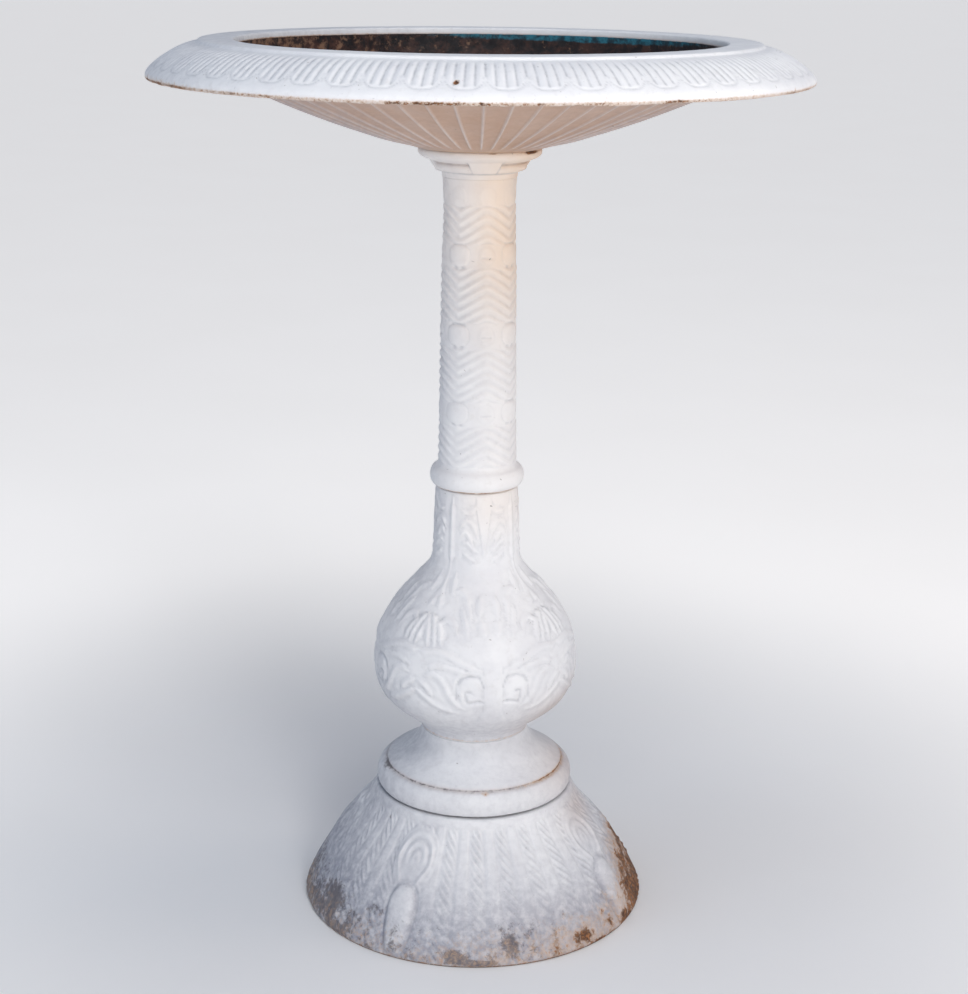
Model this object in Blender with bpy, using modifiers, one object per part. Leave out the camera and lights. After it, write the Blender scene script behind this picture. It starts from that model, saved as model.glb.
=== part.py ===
"""Pedestal basin: six hollow castings stacked on a round foot and held together by one tie rod.

Metres, +Z up. The origin is the centre of the foot, on the surface that the object stands on, and
every turned casting shares the vertical axis. The relief's main face points along -Y.
"""
import math

import bmesh
import bpy
from mathutils import Vector
from mathutils.geometry import interpolate_bezier

# ---- driving dimensions -------------------------------------------------------------------------
TOTAL_HEIGHT = 0.800          # floor to the top of the basin's lip
FOOT_RADIUS = 0.1618
RIM_RADIUS = 0.2858
BOWL_RADIUS = 0.2105          # inside of the bowl at the lip
SHAFT_TOP_RADIUS = 0.0324
SHAFT_FOOT_RADIUS = 0.0353
BULB_RADIUS = 0.0938

# Heights of the joints between the castings
SKIRT_TOP = 0.1112
PLINTH_TOP = 0.1688
GOURD_TOP = 0.4046
SHAFT_TOP = 0.6838
CAPITAL_TOP = 0.7072
BASIN_BOTTOM = 0.7092

CASTING_WALL = 0.007
BOWL_FLOOR = 0.0103           # thickness of the basin's floor round the rod
SKIRT_FLANGE = 0.0080         # thickness of the skirt's top, which the clamp bar pulls on
JOINT_GAP = 0.0003            # between faces that meet
SPIGOT_DEPTH = 0.006          # of the register that centres one casting in the next
BOND = 0.0005                 # how far joined shapes sink into each other before their union

SKIRT_TURN = 9.0              # degrees that the foot stands turned against the column's relief

# Through hardware
ROD_RADIUS = 0.00635
ROD_HOLE_RADIUS = 0.0075
ROD_FOOT_Z = 0.066
NUT_CORNER_RADIUS = 0.019 / math.sqrt(3.0)
CAP_NUT_DOME_RADIUS = 0.0090
CUT_MARGIN = 0.002            # how far a bore's cutter runs past the faces it opens

# ---- scene --------------------------------------------------------------------------------------
for old in list(bpy.data.objects):
    bpy.data.objects.remove(old, do_unlink=True)

parts = bpy.data.collections.new("pedestal_basin")
cutters = bpy.data.collections.new("cutters")
bpy.context.scene.collection.children.link(parts)
bpy.context.scene.collection.children.link(cutters)


def material(name, color, roughness, metallic):
    """Principled material with one colour."""
    made = bpy.data.materials.new(name)
    made.use_nodes = True
    shader = made.node_tree.nodes["Principled BSDF"]
    shader.inputs["Base Color"].default_value = (*color, 1.0)
    shader.inputs["Roughness"].default_value = roughness
    shader.inputs["Metallic"].default_value = metallic
    return made


def painted_iron(name, color=(0.80, 0.79, 0.77)):
    """White paint over cast iron."""
    return material(name, color, 0.55, 0.0)


def steel(name):
    """Plain zinc-grey steel for the hardware."""
    return material(name, (0.42, 0.41, 0.40), 0.45, 0.9)


def rubber(name):
    """Black rubber for the seals."""
    return material(name, (0.03, 0.03, 0.03), 0.8, 0.0)


# ---- outlines, as (radius, height) points -------------------------------------------------------
def flowing(points, steps):
    """Smooth curve through the points, with the given number of steps in each stretch."""
    knots = [Vector((r, z, 0.0)) for r, z in points]
    tangents = []
    for i, knot in enumerate(knots):
        before = knots[max(i - 1, 0)]
        after = knots[min(i + 1, len(knots) - 1)]
        tangents.append((after - before) / (2.0 if 0 < i < len(knots) - 1 else 1.0))
    curve = [knots[0]]
    for i in range(len(knots) - 1):
        handle_a = knots[i] + tangents[i] / 3.0
        handle_b = knots[i + 1] - tangents[i + 1] / 3.0
        curve += interpolate_bezier(knots[i], handle_a, handle_b, knots[i + 1], steps + 1)[1:]
    return [(p.x, p.y) for p in curve]


def inset(outline, wall):
    """The same curve moved inwards by the wall, and run the other way, for a casting's bore."""
    moved = []
    for i, (r, z) in enumerate(outline):
        r_before, z_before = outline[max(i - 1, 0)]
        r_after, z_after = outline[min(i + 1, len(outline) - 1)]
        along = Vector((r_after - r_before, z_after - z_before)).normalized()
        moved.append((r + along.y * wall, z - along.x * wall))
    return moved[::-1]


def arc(centre_r, centre_z, radius, start, end, steps):
    """Points on a round stretch, from one angle to another in degrees."""
    points = []
    for i in range(steps + 1):
        angle = math.radians(start + (end - start) * i / steps)
        points.append((centre_r + radius * math.cos(angle), centre_z + radius * math.sin(angle)))
    return points


# ---- building shapes ----------------------------------------------------------------------------
def place(obj, collection, finish=None):
    """Link an object and give it its material."""
    collection.objects.link(obj)
    if finish is not None:
        obj.data.materials.append(finish)
    return obj


def shade_round(obj, sharp_angle=40.0):
    """Smooth shading with crisp edges past the given angle."""
    obj.data.shade_smooth()
    obj.data.set_sharp_from_angle(angle=math.radians(sharp_angle))


def turned(name, outline, segments, finish, collection=None):
    """A closed outline in the XZ plane turned round Z: its outer side runs from top to bottom."""
    mesh = bpy.data.meshes.new(name)
    corners = [(r, 0.0, z) for r, z in outline]
    edges = [(i, (i + 1) % len(corners)) for i in range(len(corners))]
    mesh.from_pydata(corners, edges, [])
    obj = place(bpy.data.objects.new(name, mesh), collection or parts, finish)
    screw = obj.modifiers.new("turn", "SCREW")
    screw.axis = "Z"
    screw.angle = math.tau
    screw.steps = segments
    screw.render_steps = segments
    screw.use_merge_vertices = True
    screw.merge_threshold = 0.00005
    screw.use_smooth_shade = True
    return obj


def hide_cutter(obj):
    """A cutter shows as a wire and is left out of the render."""
    obj.hide_render = True
    obj.display_type = "WIRE"
    return obj


def boolean(obj, other, operation):
    """Join the other shape to the object, or cut it away."""
    modifier = obj.modifiers.new(other.name, "BOOLEAN")
    modifier.operation = operation
    modifier.solver = "EXACT"
    modifier.object = other
    hide_cutter(other)


def prism(name, sides, radius, bottom, top, collection, finish=None):
    """Upright prism or cylinder on the axis."""
    mesh = bpy.data.meshes.new(name)
    shape = bmesh.new()
    bmesh.ops.create_cone(shape, cap_ends=True, segments=sides, radius1=radius, radius2=radius,
                          depth=top - bottom)
    shape.to_mesh(mesh)
    shape.free()
    obj = place(bpy.data.objects.new(name, mesh), collection, finish)
    obj.location = (0.0, 0.0, (bottom + top) / 2.0)
    return obj


def block(name, size, centre, collection, finish=None, narrow=1.0):
    """Box whose lower face is narrowed sideways by the given factor."""
    mesh = bpy.data.meshes.new(name)
    shape = bmesh.new()
    bmesh.ops.create_cube(shape, size=1.0)
    for vertex in shape.verts:
        squeeze = narrow if vertex.co.z < 0.0 else 1.0
        vertex.co = Vector((vertex.co.x * size[0] * squeeze, vertex.co.y * size[1],
                            vertex.co.z * size[2]))
    shape.to_mesh(mesh)
    shape.free()
    obj = place(bpy.data.objects.new(name, mesh), collection, finish)
    obj.location = centre
    return obj


def turn_about_axis(obj, angle):
    """Carry an object round the vertical axis."""
    x, y, z = obj.location
    obj.location = (x * math.cos(angle) - y * math.sin(angle),
                    x * math.sin(angle) + y * math.cos(angle), z)
    obj.rotation_euler.z += angle


# ---- castings -----------------------------------------------------------------------------------
def make_basin():
    """Conical bowl, upright wall, flat lip and drooping ovolo rim."""
    lip_outer = BOWL_RADIUS + 0.0295
    ovolo = flowing([(lip_outer + 0.0015, TOTAL_HEIGHT - 0.0025),
                     (lip_outer + 0.0200, TOTAL_HEIGHT - 0.0080),
                     (RIM_RADIUS - 0.0073, TOTAL_HEIGHT - 0.0200),
                     (RIM_RADIUS, TOTAL_HEIGHT - 0.0300)], 2)
    rim_edge = arc(RIM_RADIUS - 0.0030, TOTAL_HEIGHT - 0.0303, 0.0030, -30.0, -150.0, 2)
    under_rim = [(RIM_RADIUS - 0.0115, TOTAL_HEIGHT - 0.0250),
                 (lip_outer + 0.0160, TOTAL_HEIGHT - 0.0145),
                 (lip_outer - 0.0020, TOTAL_HEIGHT - 0.0080)]
    wall_outer = BOWL_RADIUS + CASTING_WALL
    under_cone = [(wall_outer + 0.0040, TOTAL_HEIGHT - 0.0080),
                  (wall_outer, TOTAL_HEIGHT - 0.0120),
                  (wall_outer, TOTAL_HEIGHT - 0.0290),
                  (wall_outer - 0.0085, TOTAL_HEIGHT - 0.0365),
                  (0.0560, BASIN_BOTTOM + 0.0004),
                  (0.0540, BASIN_BOTTOM)]
    bowl = [(ROD_HOLE_RADIUS, BASIN_BOTTOM),
            (ROD_HOLE_RADIUS, BASIN_BOTTOM + BOWL_FLOOR),
            (0.0620, BASIN_BOTTOM + BOWL_FLOOR),
            (BOWL_RADIUS - 0.0105, TOTAL_HEIGHT - 0.0327),
            (BOWL_RADIUS - 0.0020, TOTAL_HEIGHT - 0.0265),
            (BOWL_RADIUS, TOTAL_HEIGHT - 0.0200)]
    lip = arc(BOWL_RADIUS + 0.0020, TOTAL_HEIGHT - 0.0020, 0.0020, 180.0, 90.0, 2)
    outline = lip + [(lip_outer, TOTAL_HEIGHT)] + ovolo + rim_edge + under_rim + under_cone + bowl
    return turned("basin", outline, 56, painted_iron("basin_paint"))


def make_capital():
    """Two-roll collar under the basin, with four keystone tabs between the rolls."""
    upper_roll = arc(0.0490, CAPITAL_TOP - 0.0036, 0.0058, 70.0, -60.0, 4)
    lower_roll = arc(0.0428, CAPITAL_TOP - 0.0122, 0.0046, 50.0, -80.0, 3)
    outer = [(0.0480, CAPITAL_TOP)] + upper_roll + lower_roll
    outer += [(0.0380, CAPITAL_TOP - 0.0185), (SHAFT_TOP_RADIUS + 0.0008, SHAFT_TOP + JOINT_GAP)]
    bore = 0.0180
    spigot = 0.0245
    inner = [(spigot, SHAFT_TOP + JOINT_GAP), (spigot, SHAFT_TOP - SPIGOT_DEPTH),
             (bore, SHAFT_TOP - SPIGOT_DEPTH), (bore, CAPITAL_TOP)]
    collar = turned("capital", outer + inner, 40, painted_iron("capital_paint"))
    tab_height = 0.0150
    for quarter in range(4):
        tab = block("tab_%d" % quarter, (0.0300, 0.0240, tab_height),
                    (0.0, -0.0375, CAPITAL_TOP - 0.0040 - tab_height / 2.0), cutters, narrow=0.72)
        turn_about_axis(tab, quarter * math.pi / 2.0)
        boolean(collar, tab, "UNION")
    return collar


def make_column_shaft():
    """Slender tube with a plain ring at its foot and a spigot that enters the gourd's neck."""
    ring = arc(0.0348, GOURD_TOP + 0.0095, 0.0082, 75.0, -75.0, 5)
    outer = [(SHAFT_TOP_RADIUS, SHAFT_TOP),
             (0.0336, 0.5400),
             (SHAFT_FOOT_RADIUS, 0.4280)] + ring + [(0.0362, GOURD_TOP + JOINT_GAP)]
    spigot = 0.0290
    bore = 0.0248
    inner = [(spigot, GOURD_TOP + JOINT_GAP), (spigot, GOURD_TOP - SPIGOT_DEPTH),
             (bore, GOURD_TOP - SPIGOT_DEPTH), (bore, SHAFT_TOP)]
    return turned("column_shaft", outer + inner, 36, painted_iron("shaft_paint"))


def make_gourd():
    """Neck and bulb in one hollow casting, narrowing to the waist on the plinth."""
    neck = [(0.0372, GOURD_TOP), (0.0386, 0.3700), (0.0403, 0.3400)]
    bulb = flowing([(0.0403, 0.3400), (0.0470, 0.3245), (0.0723, 0.2960), (0.0900, 0.2660),
                    (BULB_RADIUS, 0.2360), (0.0852, 0.2040), (0.0574, 0.1800),
                    (0.0495, PLINTH_TOP + JOINT_GAP)], 2)
    outer = neck[:-1] + bulb
    socket = 0.0293
    floor_top = PLINTH_TOP + 0.0100
    hollow = inset(bulb, CASTING_WALL)[3:-1:2]
    inner = [(socket, PLINTH_TOP + JOINT_GAP), (socket, floor_top), (0.0400, floor_top)] + hollow
    inner += [(socket, 0.3700), (socket, GOURD_TOP)]
    return turned("gourd", outer + inner, 40, painted_iron("gourd_paint"))


def make_plinth():
    """Ogee dome over a torus, hollow from below, with registers at both ends."""
    dome = flowing([(0.0495, PLINTH_TOP), (0.0530, 0.1590), (0.0640, 0.1475), (0.0760, 0.1400),
                    (0.0828, 0.1362)], 2)
    torus = arc(0.0808, SKIRT_TOP + 0.0118, 0.0112, 72.0, -76.0, 5)
    outer = dome + [(0.0826, 0.1346)] + torus + [(0.0800, SKIRT_TOP + JOINT_GAP)]
    lower_spigot = 0.0447
    upper_spigot = 0.0290
    bore = 0.0200
    inner = [(lower_spigot, SKIRT_TOP + JOINT_GAP), (lower_spigot, SKIRT_TOP - SPIGOT_DEPTH),
             (0.0390, SKIRT_TOP - SPIGOT_DEPTH), (0.0390, SKIRT_TOP + 0.0040),
             (0.0700, SKIRT_TOP + 0.0080), (0.0700, SKIRT_TOP + 0.0170),
             (0.0500, SKIRT_TOP + 0.0340), (bore, PLINTH_TOP - 0.0100),
             (bore, PLINTH_TOP + SPIGOT_DEPTH), (upper_spigot, PLINTH_TOP + SPIGOT_DEPTH),
             (upper_spigot, PLINTH_TOP)]
    return turned("plinth", outer + inner, 40, painted_iron("plinth_paint"))


def make_skirt_base():
    """Bell-shaped foot, open underneath, with four corner ornaments."""
    bell = flowing([(0.0915, SKIRT_TOP - 0.0010), (0.1014, 0.0920), (0.1218, 0.0680),
                    (0.1387, 0.0440), (0.1550, 0.0160), (FOOT_RADIUS, 0.0)], 2)
    socket = 0.0450
    flange = SKIRT_TOP - SKIRT_FLANGE
    hollow = [(FOOT_RADIUS - 0.0110, 0.0), (FOOT_RADIUS - 0.0110, 0.0050)]
    hollow += inset(bell, CASTING_WALL)[2:-2:2] + [(0.0850, flange)]
    outline = [(0.0900, SKIRT_TOP)] + bell + hollow + [(socket, flange), (socket, SKIRT_TOP)]
    skirt = turned("skirt_base", outline, 56, painted_iron("skirt_paint"))
    for corner in range(4):
        bud = make_bud("bud_%d" % corner)
        turn_about_axis(bud, math.radians(SKIRT_TURN - 45.0 + 90.0 * corner))
        boolean(skirt, bud, "UNION")
    return skirt


def make_bud(name):
    """Raised oval at a corner of the skirt, lying along the bell's slope."""
    mesh = bpy.data.meshes.new(name)
    shape = bmesh.new()
    bmesh.ops.create_uvsphere(shape, u_segments=12, v_segments=6, radius=1.0)
    half_width, half_depth, half_length = 0.0110, 0.0065, 0.0210
    for vertex in shape.verts:
        vertex.co = Vector((vertex.co.x * half_width, vertex.co.y * half_depth,
                            vertex.co.z * half_length))
    shape.to_mesh(mesh)
    shape.free()
    bud = place(bpy.data.objects.new(name, mesh), cutters)
    bud.location = (0.0, -0.1420, 0.0360)
    bud.rotation_euler.x = math.radians(-30.0)
    return bud


# ---- seals and hardware -------------------------------------------------------------------------
def make_ring(name, inner_radius, outer_radius, bottom, top, segments, finish):
    """Flat washer or gasket."""
    outline = [(inner_radius, top), (outer_radius, top), (outer_radius, bottom),
               (inner_radius, bottom)]
    return turned(name, outline, segments, finish)


def make_nut(name, bottom, thickness):
    """Hexagonal nut with a plain bore."""
    nut = prism(name, 6, NUT_CORNER_RADIUS, bottom, bottom + thickness, parts,
                steel(name + "_steel"))
    bore = prism(name + "_bore", 20, ROD_RADIUS + JOINT_GAP, bottom - CUT_MARGIN,
                 bottom + thickness + CUT_MARGIN, cutters)
    boolean(nut, bore, "DIFFERENCE")
    return nut


def make_cap_nut(bottom, rod_top):
    """Domed hexagonal nut with a blind bore that takes the end of the rod."""
    body_height = 0.0100
    nut = prism("basin_cap_nut", 6, NUT_CORNER_RADIUS, bottom,
                bottom + body_height, parts, steel("cap_nut_steel"))
    dome_centre = bottom + body_height - BOND
    dome = turned("cap_nut_dome",
                  arc(0.0, dome_centre, CAP_NUT_DOME_RADIUS, 90.0, 0.0, 5)
                  + [(0.0, dome_centre)], 20, None, cutters)
    boolean(nut, dome, "UNION")
    bore = prism("cap_nut_bore", 20, ROD_RADIUS + JOINT_GAP, bottom - CUT_MARGIN,
                 rod_top + JOINT_GAP, cutters)
    boolean(nut, bore, "DIFFERENCE")
    return nut


def make_clamp_bar(bottom, top):
    """Flat iron bar across the skirt's opening, with a hole for the rod."""
    bar = block("clamp_bar", (0.1400, 0.0300, top - bottom), (0.0, 0.0, (top + bottom) / 2.0),
                parts, material("clamp_bar_iron", (0.16, 0.12, 0.10), 0.7, 0.6))
    hole = prism("clamp_bar_hole", 20, ROD_HOLE_RADIUS, bottom - CUT_MARGIN, top + CUT_MARGIN,
                 cutters)
    boolean(bar, hole, "DIFFERENCE")
    return bar


def make_hardware():
    """Everything on the tie rod, from the bowl down to the lock nut."""
    bowl_floor = BASIN_BOTTOM + BOWL_FLOOR
    seal_top = bowl_floor + JOINT_GAP + 0.0020
    washer_top = seal_top + JOINT_GAP + 0.0018
    cap_bottom = washer_top + JOINT_GAP
    rod_top = cap_bottom + 0.0120
    make_ring("basin_seal", ROD_HOLE_RADIUS, 0.0190, bowl_floor + JOINT_GAP, seal_top, 24,
              rubber("seal_rubber"))
    make_ring("basin_washer", ROD_HOLE_RADIUS, 0.0170, seal_top + JOINT_GAP, washer_top, 24,
              steel("basin_washer_steel"))
    make_cap_nut(cap_bottom, rod_top)
    make_ring("basin_gasket", 0.0200, 0.0465, CAPITAL_TOP + JOINT_GAP, BASIN_BOTTOM - JOINT_GAP,
              32, rubber("gasket_rubber"))

    bar_top = SKIRT_TOP - SKIRT_FLANGE - JOINT_GAP
    bar_bottom = bar_top - 0.0100
    make_clamp_bar(bar_bottom, bar_top)
    washer_bottom = bar_bottom - JOINT_GAP - 0.0020
    make_ring("clamp_washer", ROD_HOLE_RADIUS, 0.0145, washer_bottom, bar_bottom - JOINT_GAP, 24,
              steel("clamp_washer_steel"))
    nut_bottom = washer_bottom - JOINT_GAP - 0.0105
    make_nut("clamp_nut", nut_bottom, 0.0105)
    lock_bottom = nut_bottom - JOINT_GAP - 0.0070
    make_nut("lock_nut", lock_bottom, 0.0070)
    prism("tie_rod", 20, ROD_RADIUS, ROD_FOOT_Z, rod_top, parts, steel("tie_rod_steel"))


make_basin()
make_capital()
make_column_shaft()
make_gourd()
make_plinth()
make_skirt_base()
make_hardware()
for piece in parts.objects:
    shade_round(piece)
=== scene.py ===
"""Looks of the pedestal basin: castings with their relief, chalky old paint, light and camera.

Metres, +Z up, in the CAD frame. Angles round the axis are 0 towards -Y and grow towards +X.
Each casting is a closed outline of (radius, height) turned round the axis, whose surface is then
raised or sunk along its normal by the casting's own relief.
"""

import math
from itertools import product

import bpy
import numpy as np
from mathutils import Matrix


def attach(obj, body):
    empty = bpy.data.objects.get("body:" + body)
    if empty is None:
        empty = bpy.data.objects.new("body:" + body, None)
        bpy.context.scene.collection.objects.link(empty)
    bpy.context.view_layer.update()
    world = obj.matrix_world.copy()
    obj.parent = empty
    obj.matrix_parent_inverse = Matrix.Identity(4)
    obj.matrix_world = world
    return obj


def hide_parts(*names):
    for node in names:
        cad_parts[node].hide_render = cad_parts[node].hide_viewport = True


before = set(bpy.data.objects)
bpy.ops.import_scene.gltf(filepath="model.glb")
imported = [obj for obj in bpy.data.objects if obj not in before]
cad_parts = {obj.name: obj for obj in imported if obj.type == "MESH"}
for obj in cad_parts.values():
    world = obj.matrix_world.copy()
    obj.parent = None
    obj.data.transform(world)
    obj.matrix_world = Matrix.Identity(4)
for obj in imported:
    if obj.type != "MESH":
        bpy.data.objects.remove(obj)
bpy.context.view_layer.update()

# ---- dimensions shared by the castings -----------------------------
MM = 0.001
RIM_RADIUS = 0.2858
BOWL_RADIUS = 0.2105          # inside of the bowl at the lip
LIP_HEIGHT = 0.800
FOOT_RADIUS = 0.1618

LOBES = 56                    # tongues round the rim, petals under the bowl, reeds round the foot
RIBS_PER_LOBE = 4
LOBE_START = -1.6             # degrees of the first border between two lobes

# Degrees that each casting's relief stands turned against the CAD's front
CAPITAL_TURN = -2.5
SHAFT_TURN = 3.5
GOURD_TURN = 1.5
FOOT_TURN = 9.0


# ---- noise ---------------------------------------------------------
def lattice_noise(points, size, seed):
    """Smooth noise from -1 to 1 at points (..., 3), with features of the given size."""
    cell = points / size
    base = np.floor(cell).astype(np.int64)
    blend = cell - base
    blend = blend * blend * (3.0 - 2.0 * blend)
    total = np.zeros(points.shape[:-1])
    for corner in product((0, 1), repeat=3):
        key = base + np.array(corner)
        mixed = key[..., 0] * 374761393 + key[..., 1] * 668265263 + key[..., 2] * 974634777
        mixed = (mixed + seed * 1442695041) & 0xFFFFFFFF
        mixed = ((mixed ^ (mixed >> 13)) * 1274126177) & 0xFFFFFFFF
        mixed = mixed ^ (mixed >> 16)
        weight = np.ones(points.shape[:-1])
        for axis in range(3):
            weight = weight * (blend[..., axis] if corner[axis] else 1.0 - blend[..., axis])
        total += weight * ((mixed & 0xFFFF) / 32767.5 - 1.0)
    return total


def layered_noise(points, size, seed, layers=3):
    """Lattice noise with finer and weaker layers added, roughly -1 to 1."""
    total = np.zeros(points.shape[:-1])
    for layer in range(layers):
        total += lattice_noise(points, size / 2.0 ** layer, seed + layer) * 0.5 ** layer
    return total / 1.6


def bump(offset, width):
    """1 where the offset is 0, falling softly to 0 a few widths away."""
    return np.exp(-(offset / width) ** 2)


def wrap(angle):
    """The same angle in degrees, from -180 to 180."""
    return (angle + 180.0) % 360.0 - 180.0


def ease(value, low, high):
    """0 below low, 1 above high, smooth between; low may be the larger."""
    t = np.clip((value - low) / (high - low), 0.0, 1.0)
    return t * t * (3.0 - 2.0 * t)


# ---- outlines ------------------------------------------------------
def even(points, step):
    """The same line with points at even steps."""
    points = np.array(points, float)
    at = np.concatenate([[0.0], np.cumsum(np.linalg.norm(np.diff(points, axis=0), axis=1))])
    count = max(int(round(at[-1] / step)), 1)
    places = np.linspace(0.0, at[-1], count + 1)
    return np.stack([np.interp(places, at, points[:, 0]), np.interp(places, at, points[:, 1])], 1)


def curve(points, step):
    """Smooth line through the points, sampled at even steps."""
    knots = np.array(points, float)
    at = np.concatenate([[0.0], np.cumsum(np.linalg.norm(np.diff(knots, axis=0), axis=1))])
    slope = np.gradient(knots, at, axis=0)
    place = np.linspace(0.0, at[-1], 24 * len(knots))
    i = np.clip(np.searchsorted(at, place, side="right") - 1, 0, len(knots) - 2)
    length = at[i + 1] - at[i]
    u = ((place - at[i]) / length)[:, None]
    length = length[:, None]
    dense = ((2 * u ** 3 - 3 * u ** 2 + 1) * knots[i] + (u ** 3 - 2 * u ** 2 + u) * length * slope[i]
             + (-2 * u ** 3 + 3 * u ** 2) * knots[i + 1] + (u ** 3 - u ** 2) * length * slope[i + 1])
    return even(dense, step)


def arc(centre_r, centre_z, radius, start, end, steps):
    """Points on a round stretch, from one angle to another in degrees."""
    angles = np.radians(np.linspace(start, end, steps + 1))
    return np.stack([centre_r + radius * np.cos(angles), centre_z + radius * np.sin(angles)], 1)


def joined(*stretches):
    """One outline from stretches laid end to end, without doubled points."""
    points = np.concatenate([np.array(stretch, float) for stretch in stretches])
    keep = np.ones(len(points), bool)
    keep[1:] = np.linalg.norm(np.diff(points, axis=0), axis=1) > 0.02 * MM
    return points[keep]


# ---- turned castings -----------------------------------------------
class Turned:
    """Grid of surface points: rows run along the closed outline, columns round the axis."""

    def __init__(self, outline, columns, turn=0.0):
        self.outer = len(outline)                  # rows that strokes may be drawn on
        self.r = outline[:, 0][:, None]
        self.z = outline[:, 1][:, None]
        tangent = np.roll(outline, -1, 0) - np.roll(outline, 1, 0)
        tangent /= np.linalg.norm(tangent, axis=1)[:, None]
        self.normal_r = -tangent[:, 1][:, None]
        self.normal_z = tangent[:, 0][:, None]
        steps = np.linalg.norm(np.diff(outline, axis=0), axis=1)
        self.along = np.concatenate([[0.0], np.cumsum(steps)])[:, None]
        world = 360.0 * np.arange(columns) / columns
        self.view = wrap(world)[None, :]                       # angle in the CAD frame
        self.relief_angle = wrap(world - turn)[None, :]        # angle in the relief's own frame
        self.shape = (len(outline), columns)
        self.height = np.zeros(self.shape)         # moved along the normal
        self.push = np.zeros(self.shape)           # moved straight out from the axis
        self.marks = {}

    def points(self):
        """World positions with the relief, as (rows, columns, 3)."""
        r = self.r + self.push + self.normal_r * self.height
        z = self.z + self.normal_z * self.height
        angle = np.radians(self.view)
        return np.stack([r * np.sin(angle), -r * np.cos(angle), z * np.ones_like(angle)], -1)

    def hollows(self, reach):
        """How far each point lies below the surface around it, in metres."""
        smooth = self.height
        for _ in range(reach):
            smooth = (smooth + np.roll(smooth, 1, 0) + np.roll(smooth, -1, 0)
                      + np.roll(smooth, 1, 1) + np.roll(smooth, -1, 1)) / 5.0
        return smooth - self.height


def build(name, node, grid, material):
    """Mesh of a turned grid, with its marks as vertex attributes, standing for a CAD node."""
    rows, columns = grid.shape
    points = grid.points().reshape(-1, 3)
    mesh = bpy.data.meshes.new(name)
    index = np.arange(rows * columns).reshape(rows, columns)
    down = np.roll(index, -1, 0)
    faces = np.stack([index, down, np.roll(down, -1, 1), np.roll(index, -1, 1)], -1).reshape(-1, 4)
    mesh.vertices.add(len(points))
    mesh.vertices.foreach_set("co", points.astype(np.float32).ravel())
    mesh.loops.add(faces.size)
    mesh.loops.foreach_set("vertex_index", faces.ravel().astype(np.int32))
    mesh.polygons.add(len(faces))
    mesh.polygons.foreach_set("loop_start", np.arange(0, faces.size, 4, dtype=np.int32))
    mesh.update(calc_edges=True)
    mesh.validate()
    mesh.shade_smooth()
    for mark, values in grid.marks.items():
        layer = mesh.attributes.new(mark, "FLOAT", "POINT")
        full = np.broadcast_to(values, grid.shape)
        layer.data.foreach_set("value", np.clip(full, 0.0, 1.0).astype(np.float32).ravel())
    mesh.materials.append(material)
    obj = bpy.data.objects.new(name, mesh)
    bpy.context.scene.collection.objects.link(obj)
    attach(obj, "root")
    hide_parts(node)
    return obj


def patch(grid, angle, height, wide, tall):
    """Soft spot on the surface: angle and width in degrees, height and reach in metres."""
    offset = wrap(grid.view - angle)
    return np.exp(-(offset / wide) ** 2 - ((grid.z - height) / tall) ** 2)


def side(grid, angle, full, none):
    """1 within `full` degrees of the angle, falling softly to 0 at `none` degrees from it."""
    return ease(np.abs(wrap(grid.view - angle)), none, full)


def roughen(grid, depth, size, seed):
    """Uneven cast surface."""
    grid.height = grid.height + depth * layered_noise(grid.points(), size, seed)


# ---- drawn relief --------------------------------------------------
def fold(angle, repeats):
    """Angle within one repeat, mirrored about its middle: 0 at the middle."""
    span = 360.0 / repeats
    return np.abs((angle + span / 2.0) % span - span / 2.0)


def stroke(grid, angle, points, width, lift):
    """Raised (or sunk, lift < 0) line through (degrees, height) points, soft-edged and tapering."""
    path = curve(points, 1.0)
    order = np.argsort(grid.z[:grid.outer, 0])
    heights = grid.z[order, 0]
    alongs = grid.along[order, 0]
    radii = grid.r[order, 0]
    nearest = np.full(grid.shape, 1.0)
    share = np.zeros(grid.shape)
    for k, ((a0, z0), (a1, z1)) in enumerate(zip(path[:-1], path[1:])):
        r0 = np.interp(z0, heights, radii)
        s0 = np.interp(z0, heights, alongs)
        r1 = np.interp(z1, heights, radii)
        s1 = np.interp(z1, heights, alongs)
        mean_r = 0.5 * (r0 + r1)
        vx = math.radians(a1 - a0) * mean_r
        vs = s1 - s0
        px = np.radians(angle - a0) * grid.r
        ps = grid.along - s0
        t = np.clip((px * vx + ps * vs) / max(vx * vx + vs * vs, 1e-12), 0.0, 1.0)
        distance = np.hypot(px - t * vx, ps - t * vs)
        closer = distance < nearest
        nearest = np.where(closer, distance, nearest)
        share = np.where(closer, (k + t) / (len(path) - 1), share)
    taper = np.clip(np.sin(math.pi * np.clip(share, 0.02, 0.98)) * 2.2, 0.45, 1.0)
    across = nearest / (width * taper)
    trench = 0.26 * bump(across - 1.80, 0.85)
    return lift * taper * (np.exp(-across ** 2 * 1.5) - trench)


# ---- basin ---------------------------------------------------------
TONGUE_GROOVE = 1.05 * MM
TONGUE_BORDER = 0.70 * MM
SPANDREL_CUT = 0.35 * MM
PETAL_RIB = 1.9 * MM
PETAL_SAG = 0.7 * MM
PIT_DEPTH = 1.6 * MM
TONGUE_TOP = 0.7972           # foot of the step under the lip
TONGUE_BOTTOM = 0.7790


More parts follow.
